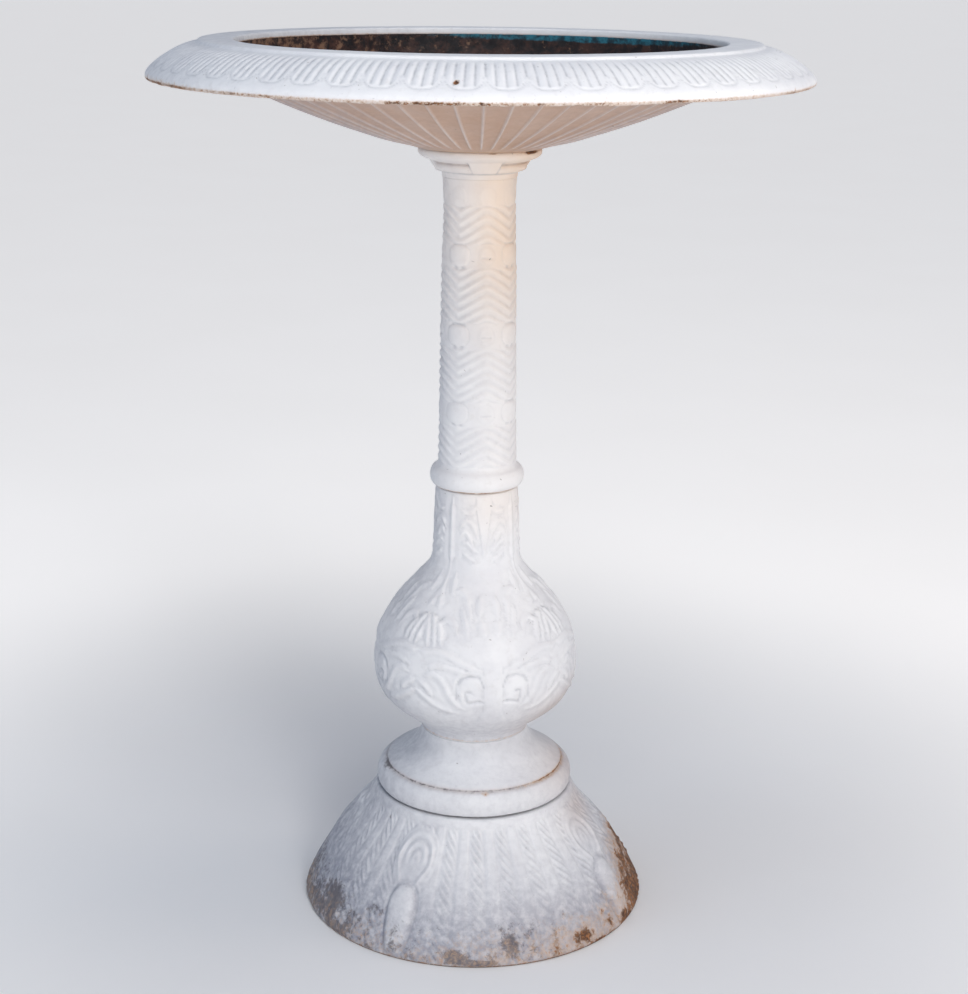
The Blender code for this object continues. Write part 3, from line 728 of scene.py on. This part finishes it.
    # painted shade between the reeds and round the ornaments
    grid.marks["hollow"] = hollow / (0.80 * MM) * outside
    eaten = side(grid, 84.0, 6.0, 34.0) * ease(grid.z + 0.022 * (patchy - 0.5), 0.0760, 0.0480)
    front_low = patch(grid, 42.0, 0.0090, 24.0, 0.020)
    rust = (0.30 * low ** 2.0 * (0.4 + 0.6 * patchy)
            + 0.50 * eaten * (0.55 + 0.45 * blotchy)
            + 0.28 * right * ease(grid.z, 0.0800, 0.0200) * patchy
            + 0.46 * front_low * (0.20 + 0.80 * blotchy)
            + 0.34 * rear * low * patchy * blotchy)
    grid.marks["rust"] = rust * outside + INSIDE_RUST * (1.0 - outside)
    # rust halos and stains, with painted warm bounce light on the right, mostly low down
    grid.marks["stain_and_warm_bounce"] = (0.34 * low ** 1.5 * side(grid, 70.0, 50.0, 100.0)
                          + 0.40 * patch(grid, 70.0, 0.0950, 22.0, 0.018)
                          + 0.50 * eaten + 0.20 * right * low)
    # painted shade on the left and right sides and in the recesses, less on raised parts; darker towards
    # the bottom
    proud = ease(grid.height, 1.0 * MM, 4.0 * MM)
    shade_and_dirt_level = 0.20 + 0.70 * ease(grid.z, 0.0900, 0.0080) + 0.44 * left + 0.26 * right + 0.10 * rear
    grid.marks["shade_and_dirt"] = np.clip(shade_and_dirt_level * (1.0 - 0.42 * proud), 0.0, 0.92) * outside
    spots = (0.42 * patch(grid, -14.0, 0.0085, 3.4, 0.0040) + 0.45 * patch(grid, -8.0, 0.0035, 5.0, 0.0030)
             + 0.22 * patch(grid, 4.0, 0.0180, 4.5, 0.0090) + 0.22 * patch(grid, -66.0, 0.0260, 5.0, 0.010))
    # grime low down and in spots, and painted shade on the left side
    grid.marks["grime_and_shade"] = np.clip(0.42 * low ** 0.7 * (0.55 + 0.45 * blotchy) * (0.65 + 0.35 * patchy)
                                 + 0.17 * left * ease(grid.z, 0.0900, 0.0150)
                                 + 0.10 * eaten + spots, 0.0, 0.80) * outside
    return grid


# ---- materials -----------------------------------------------------
class Nodes:
    """Short calls for building one material's node tree."""

    def __init__(self, name):
        self.material = bpy.data.materials.new(name)
        self.material.use_nodes = True
        self.tree = self.material.node_tree
        self.shader = self.tree.nodes["Principled BSDF"]
        self.where = self.add("ShaderNodeTexCoord").outputs["Object"]

    def add(self, kind, **settings):
        node = self.tree.nodes.new(kind)
        for key, value in settings.items():
            setattr(node, key, value)
        return node

    def set(self, socket, value):
        if isinstance(value, bpy.types.NodeSocket):
            self.tree.links.new(value, socket)
        elif hasattr(value, "__len__") and len(value) == 3 and socket.type == "RGBA":
            socket.default_value = (*value, 1.0)
        else:
            socket.default_value = value

    def noise(self, size, detail=3.0, roughness=0.55, distortion=0.0, stretch=None):
        """Noise from 0 to 1 with features of the given size in metres."""
        where = self.where
        if stretch is not None:
            mapping = self.add("ShaderNodeMapping")
            self.set(mapping.inputs["Vector"], where)
            mapping.inputs["Scale"].default_value = stretch
            where = mapping.outputs["Vector"]
        node = self.add("ShaderNodeTexNoise")
        self.set(node.inputs["Vector"], where)
        node.inputs["Scale"].default_value = 1.0 / size
        node.inputs["Detail"].default_value = detail
        node.inputs["Roughness"].default_value = roughness
        node.inputs["Distortion"].default_value = distortion
        return node.outputs["Fac"]

    def mark(self, name):
        node = self.add("ShaderNodeAttribute", attribute_name=name)
        return node.outputs["Fac"]

    def math(self, operation, first, second=0.0, third=0.0):
        node = self.add("ShaderNodeMath", operation=operation)
        for socket, value in zip(node.inputs, (first, second, third)):
            self.set(socket, value)
        return node.outputs[0]

    def ramp(self, value, low, high, start=0.0, end=1.0):
        """Smooth step of a value from low to high."""
        node = self.add("ShaderNodeMapRange", interpolation_type="SMOOTHSTEP")
        for name, given in (("Value", value), ("From Min", low), ("From Max", high),
                            ("To Min", start), ("To Max", end)):
            self.set(node.inputs[name], given)
        return node.outputs["Result"]

    def mix(self, amount, first, second):
        node = self.add("ShaderNodeMix", data_type="RGBA")
        self.set(node.inputs["Factor"], amount)
        self.set(node.inputs[6], first)
        self.set(node.inputs[7], second)
        return node.outputs[2]

    def finish(self, color, roughness, relief=None, distance=0.0003, strength=0.6):
        self.set(self.shader.inputs["Base Color"], color)
        self.set(self.shader.inputs["Roughness"], roughness)
        if relief is not None:
            bump = self.add("ShaderNodeBump")
            bump.inputs["Distance"].default_value = distance
            bump.inputs["Strength"].default_value = strength
            self.set(bump.inputs["Height"], relief)
            self.set(self.shader.inputs["Normal"], bump.outputs["Normal"])
        return self.material


CLEAN_PAINT = (0.84, 0.84, 0.85)
DULL_PAINT = (0.76, 0.76, 0.78)
RIM_CLEAN = (0.89, 0.89, 0.90)
RIM_DULL = (0.83, 0.83, 0.85)
MOTTLE_GREY = (0.64, 0.62, 0.61)
# the cream and tan below also serve as painted warm light; the groove grey, the blue-grey film and the
# near-black also serve as painted shade
CREAM_AND_WARM_LIGHT = (0.86, 0.70, 0.56)
GROOVE_SHADE_GREY = (0.36, 0.37, 0.41)
TAN_STAIN_AND_BOUNCE = (0.56, 0.345, 0.220)
SHADE_AND_DIRT_FILM = (0.27, 0.28, 0.34)
GRIME_AND_SHADE_BLACK = (0.085, 0.070, 0.078)
RUST_HALO = (0.58, 0.38, 0.23)
RUST_DARK = (0.070, 0.034, 0.022)
RUST_BRIGHT = (0.36, 0.155, 0.060)
PINHOLE = (0.16, 0.13, 0.12)


def chalky_paint(name, white=CLEAN_PAINT, dull=DULL_PAINT, speck=0.0042, bowl=False):
    """Many coats of old white paint, stained, dirty and chipped through to rust, with painted shade greying
    the hollows, sides and undersides, and painted warm light.
    """
    n = Nodes(name)
    cloud = n.noise(0.050, 4.0, 0.6)
    mottle = n.noise(0.007, 4.0, 0.65)
    grain = n.noise(0.0016, 3.0, 0.6)
    color = n.mix(n.ramp(cloud, 0.35, 0.68), white, dull)
    color = n.mix(n.ramp(mottle, 0.50, 0.80, 0.0, 0.30), color, MOTTLE_GREY)
    # painted warm light: a cream tint under the bowl and towards the right, on top of the paint's own cream
    color = n.mix(n.math("MULTIPLY", n.mark("cream_and_warm_light"), n.ramp(cloud, 0.2, 0.8, 0.75, 1.0)), color,
                  CREAM_AND_WARM_LIGHT)
    # painted shade: cool grey in the grooves and hollows of the relief
    hollow = n.math("MULTIPLY", n.mark("hollow"), n.ramp(mottle, 0.25, 0.70, 0.40, 1.0))
    color = n.mix(n.math("MULTIPLY", hollow, 0.66), color, GROOVE_SHADE_GREY)
    # tan stains, and painted warm bounce light under the bowl and on the right sides
    stain_and_warm_bounce = n.math("MULTIPLY", n.mark("stain_and_warm_bounce"), n.ramp(cloud, 0.25, 0.75, 0.88, 1.0))
    color = n.mix(stain_and_warm_bounce, color, TAN_STAIN_AND_BOUNCE)
    # painted shade, blue-grey on the sides and undersides, with some dirt, broken up by the finer mottling
    shade_and_dirt_level = n.math("MULTIPLY", n.mark("shade_and_dirt"), n.ramp(mottle, 0.28, 0.66, 0.55, 1.0))
    color = n.mix(shade_and_dirt_level, color, SHADE_AND_DIRT_FILM)
    # grime, and painted shade under the rim, in creases and on the skirt's left, gather where the mark is
    # strong and the noise is high
    smut = n.noise(0.0052, 5.0, 0.72, 0.4)
    grime_and_shade_level = n.math("ADD", n.mark("grime_and_shade"), n.math("MULTIPLY", smut, 0.75))
    grime_and_shade = n.ramp(grime_and_shade_level, 0.60, 0.80)
    grime_and_shade = n.math("MULTIPLY", grime_and_shade, n.ramp(n.mark("grime_and_shade"), 0.0, 0.10))
    color = n.mix(n.math("MULTIPLY", grime_and_shade, 0.80), color, GRIME_AND_SHADE_BLACK)
    speckle = n.noise(speck, 5.0, 0.7, 0.6)
    rust_level = n.math("ADD", n.mark("rust"), n.math("MULTIPLY", speckle, 0.9))
    rust = n.ramp(rust_level, 0.78, 0.96)
    rust = n.math("MULTIPLY", rust, n.ramp(n.mark("rust"), 0.0, 0.10))
    halo = n.ramp(rust_level, 0.54, 0.90)
    halo = n.math("MULTIPLY", halo, n.ramp(n.mark("rust"), 0.0, 0.15))
    color = n.mix(n.math("MULTIPLY", halo, 0.60), color, RUST_HALO)
    rust_color = n.mix(n.ramp(speckle, 0.40, 0.70), RUST_DARK, RUST_BRIGHT)
    color = n.mix(rust, color, rust_color)
    # pinholes in the paint, everywhere but few
    pin = n.ramp(n.noise(0.0055, 2.0, 0.5, 1.0), 0.745, 0.770)
    color = n.mix(n.math("MULTIPLY", pin, 0.60), color, PINHOLE)
    rough = n.ramp(mottle, 0.2, 0.8, 0.52, 0.78)
    rough = n.math("ADD", rough, n.math("MULTIPLY", rust, 0.2))
    relief = n.math("ADD", n.math("MULTIPLY", mottle, 0.9), n.math("MULTIPLY", grain, 0.28))
    relief = n.math("SUBTRACT", relief, n.math("MULTIPLY", rust, 0.7))
    relief = n.math("SUBTRACT", relief, n.math("MULTIPLY", pin, 0.8))
    if bowl:
        color, rough, relief = bowl_crust(n, color, rough, relief)
    return n.finish(color, rough, relief, 0.0006, 0.55)


def bowl_crust(n, color, rough, relief):
    """Inside of the bowl: near-black crust with rust blisters, and teal paint left by the wall."""
    blotch = n.noise(0.015, 5.0, 0.68, 0.3)
    flake = n.noise(0.008, 5.0, 0.72)
    crust = n.mix(n.ramp(blotch, 0.42, 0.64), (0.010, 0.008, 0.010), (0.058, 0.026, 0.020))
    rusty = n.math("ADD", flake, n.math("MULTIPLY", n.mark("rust"), 0.15))
    crust = n.mix(n.ramp(rusty, 0.57, 0.74, 0.0, 0.75), crust, (0.26, 0.145, 0.090))
    crust = n.mix(n.ramp(flake, 0.25, 0.40, 0.75, 0.0), crust, (0.020, 0.030, 0.030))
    teal_level = n.math("ADD", n.mark("teal"), n.math("MULTIPLY", blotch, 0.8))
    teal = n.ramp(teal_level, 0.82, 1.10, 0.0, 0.9)
    teal_color = n.mix(n.ramp(flake, 0.38, 0.62), (0.008, 0.040, 0.060), (0.020, 0.190, 0.270))
    crust = n.mix(teal, crust, teal_color)
    edge = n.math("ADD", n.mark("bowl"), n.math("MULTIPLY", flake, 0.35))
    inside = n.ramp(edge, 0.55, 0.85)
    color = n.mix(inside, color, crust)
    rough = n.math("ADD", rough, n.math("MULTIPLY", inside, 0.10))
    relief = n.math("ADD", relief, n.math("MULTIPLY", n.math("MULTIPLY", blotch, inside), 2.5))
    return color, rough, relief


def dull_steel(name, bright, rust_share):
    """Weathered metal: brushed, mottled and partly rusted."""
    n = Nodes(name)
    brushed = n.noise(0.0010, 3.0, 0.6, stretch=(1.0, 1.0, 0.12))
    mottle = n.noise(0.006, 4.0, 0.65)
    color = n.mix(n.ramp(brushed, 0.3, 0.7), tuple(0.6 * v for v in bright), bright)
    rust = n.ramp(mottle, 0.72 - 0.5 * rust_share, 0.86 - 0.5 * rust_share)
    color = n.mix(rust, color, (0.20, 0.085, 0.040))
    rough = n.math("ADD", n.ramp(brushed, 0.2, 0.8, 0.30, 0.48), n.math("MULTIPLY", rust, 0.35))
    metal = n.ramp(rust, 0.2, 0.8, 0.92, 0.10)
    n.set(n.shader.inputs["Metallic"], metal)
    relief = n.math("ADD", n.math("MULTIPLY", brushed, 0.4), n.math("MULTIPLY", mottle, 0.8))
    return n.finish(color, rough, relief, 0.0002, 0.5)


def old_rubber(name):
    """Black rubber, dusty and faintly crazed."""
    n = Nodes(name)
    dust = n.noise(0.005, 4.0, 0.6)
    craze = n.noise(0.0012, 3.0, 0.7, 1.2)
    color = n.mix(n.ramp(dust, 0.45, 0.75, 0.0, 0.6), (0.018, 0.017, 0.017), (0.085, 0.075, 0.065))
    return n.finish(color, n.ramp(craze, 0.3, 0.7, 0.65, 0.9), craze, 0.00015, 0.5)


FLOOR_GLOW = (1.0, 0.93, 0.85)


def pale_floor(name):
    """Studio floor, almost plain, with the faintest unevenness."""
    n = Nodes(name)
    cloud = n.noise(0.35, 3.0, 0.5)
    color = n.mix(n.ramp(cloud, 0.3, 0.7), (0.86, 0.86, 0.86), (0.88, 0.88, 0.88))
    # the floor glows where the lamps in front don't reach it
    distance = n.add("ShaderNodeVectorMath", operation="LENGTH")
    n.set(distance.inputs[0], n.where)
    away = n.add("ShaderNodeSeparateXYZ")
    n.set(away.inputs[0], n.where)
    behind = n.ramp(away.outputs["Y"], -1.2, 0.1, 0.10, 1.0)
    behind = n.math("MAXIMUM", behind, n.ramp(distance.outputs["Value"], 2.6, 6.0))
    glow = n.ramp(distance.outputs["Value"], 0.15, 1.1, 0.0, 0.44)
    n.shader.inputs["Emission Color"].default_value = (*FLOOR_GLOW, 1.0)
    n.set(n.shader.inputs["Emission Strength"], n.math("MULTIPLY", glow, behind))
    n.shader.inputs["Specular IOR Level"].default_value = 0.08
    return n.finish(color, n.ramp(cloud, 0.3, 0.7, 0.90, 0.96))


def dress(node, material):
    """Give a kept CAD node a finished material."""
    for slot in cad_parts[node].material_slots:
        slot.material = material


# ---- assembly ------------------------------------------------------
basin_paint = chalky_paint("basin_old_paint", RIM_CLEAN, RIM_DULL, 0.0024, bowl=True)
build("basin_cast", "basin", basin(), basin_paint)
build("capital_cast", "capital", capital(), chalky_paint("capital_old_paint"))
build("shaft_cast", "column_shaft", shaft(), chalky_paint("shaft_old_paint"))
build("gourd_cast", "gourd", gourd(), chalky_paint("gourd_old_paint"))
build("plinth_cast", "plinth", plinth(), chalky_paint("plinth_old_paint"))
build("skirt_cast", "skirt_base", skirt(), chalky_paint("skirt_old_paint"))

steel = dull_steel("weathered_steel", (0.34, 0.32, 0.30), 0.5)
for node in ("tie_rod", "basin_washer", "clamp_washer", "clamp_nut", "lock_nut"):
    dress(node, steel)
dress("basin_cap_nut", dull_steel("tarnished_brass", (0.40, 0.29, 0.13), 0.15))
dress("clamp_bar", dull_steel("rusty_bar", (0.15, 0.12, 0.10), 0.9))
dress("basin_seal", old_rubber("seal_rubber_old"))
dress("basin_gasket", old_rubber("gasket_rubber_old"))

# ---- stage ---------------------------------------------------------
FLOOR_HALF = 40.0
mesh = bpy.data.meshes.new("floor")
mesh.from_pydata([(-FLOOR_HALF, -FLOOR_HALF, 0.0), (FLOOR_HALF, -FLOOR_HALF, 0.0),
                  (FLOOR_HALF, FLOOR_HALF, 0.0), (-FLOOR_HALF, FLOOR_HALF, 0.0)], [], [(0, 1, 2, 3)])
mesh.materials.append(pale_floor("floor_pale"))
floor = bpy.data.objects.new("floor", mesh)
floor.location.z = -0.0005
bpy.context.scene.collection.objects.link(floor)


def lamp(name, azimuth, elevation, aim, distance, size, power, color):
    """Soft round panel aimed at a height on the axis."""
    light = bpy.data.lights.new(name, "AREA")
    light.shape = "DISK"
    light.size = size
    light.energy = power
    light.color = color
    obj = bpy.data.objects.new(name, light)
    turn = (Matrix.Rotation(math.radians(azimuth), 4, "Z")
            @ Matrix.Rotation(math.radians(90.0 - elevation), 4, "X"))
    obj.matrix_world = (Matrix.Translation((0.0, 0.0, aim)) @ turn
                        @ Matrix.Translation((0.0, 0.0, distance)))
    obj.visible_camera = False
    bpy.context.scene.collection.objects.link(obj)


lamp("key_front", 12.0, 20.0, 0.45, 3.0, 0.8, 24.0, (1.0, 0.985, 0.965))
lamp("high_front", 6.0, 52.0, 0.35, 3.0, 1.0, 21.0, (1.0, 0.985, 0.975))
lamp("ground_bounce", 14.0, -8.0, 0.62, 2.4, 0.5, 7.0, (1.0, 0.88, 0.76))
lamp("warm_right", 84.0, 40.0, 0.35, 3.0, 1.2, 6.0, (1.0, 0.80, 0.64))
lamp("cool_left", -85.0, 18.0, 0.45, 3.0, 1.6, 6.0, (0.50, 0.72, 1.0))

# pale towards the horizon all round, bluer overhead
HORIZON = (0.69, 0.70, 0.72)
OVERHEAD = (0.28, 0.32, 0.39)
HAZE_TOP = 0.40               # upward part of the direction at which the sky is all overhead colour
world = bpy.data.worlds.new("soft_studio")
world.use_nodes = True
sky = world.node_tree
background = sky.nodes["Background"]
direction = sky.nodes.new("ShaderNodeTexCoord")
split = sky.nodes.new("ShaderNodeSeparateXYZ")
height = sky.nodes.new("ShaderNodeMapRange")
height.interpolation_type = "SMOOTHSTEP"
height.inputs["From Max"].default_value = HAZE_TOP
blend = sky.nodes.new("ShaderNodeMix")
blend.data_type = "RGBA"
blend.inputs[6].default_value = (*HORIZON, 1.0)
blend.inputs[7].default_value = (*OVERHEAD, 1.0)
sky.links.new(direction.outputs["Generated"], split.inputs[0])
sky.links.new(split.outputs["Z"], height.inputs["Value"])
sky.links.new(height.outputs["Result"], blend.inputs["Factor"])
sky.links.new(blend.outputs[2], background.inputs["Color"])
bpy.context.scene.world = world
bpy.context.scene.view_settings.view_transform = "Standard"

# ---- camera --------------------------------------------------------
SENSOR_WIDTH = 36.0           # millimetres
FOCAL_LENGTH = 70.847107      # millimetres
CAMERA_DISTANCE = 1.6752
CAMERA_SIDEWAYS = 0.0067
CAMERA_HEIGHT = 0.8856
CAMERA_PITCH = 16.436         # degrees below level
CAMERA_ROLL = 0.628
CAMERA_TURN = -9.0            # degrees round the object's axis, so that its relief faces as it should

lens = bpy.data.cameras.new("camera")
lens.sensor_fit = "HORIZONTAL"
lens.sensor_width = SENSOR_WIDTH
lens.lens = FOCAL_LENGTH
camera = bpy.data.objects.new("camera", lens)
camera.matrix_world = (Matrix.Rotation(math.radians(CAMERA_TURN), 4, "Z")
                       @ Matrix.Translation((CAMERA_SIDEWAYS, -CAMERA_DISTANCE, CAMERA_HEIGHT))
                       @ Matrix.Rotation(math.radians(90.0 - CAMERA_PITCH), 4, "X")
                       @ Matrix.Rotation(math.radians(CAMERA_ROLL), 4, "Z"))
bpy.context.scene.collection.objects.link(camera)
bpy.context.scene.camera = camera
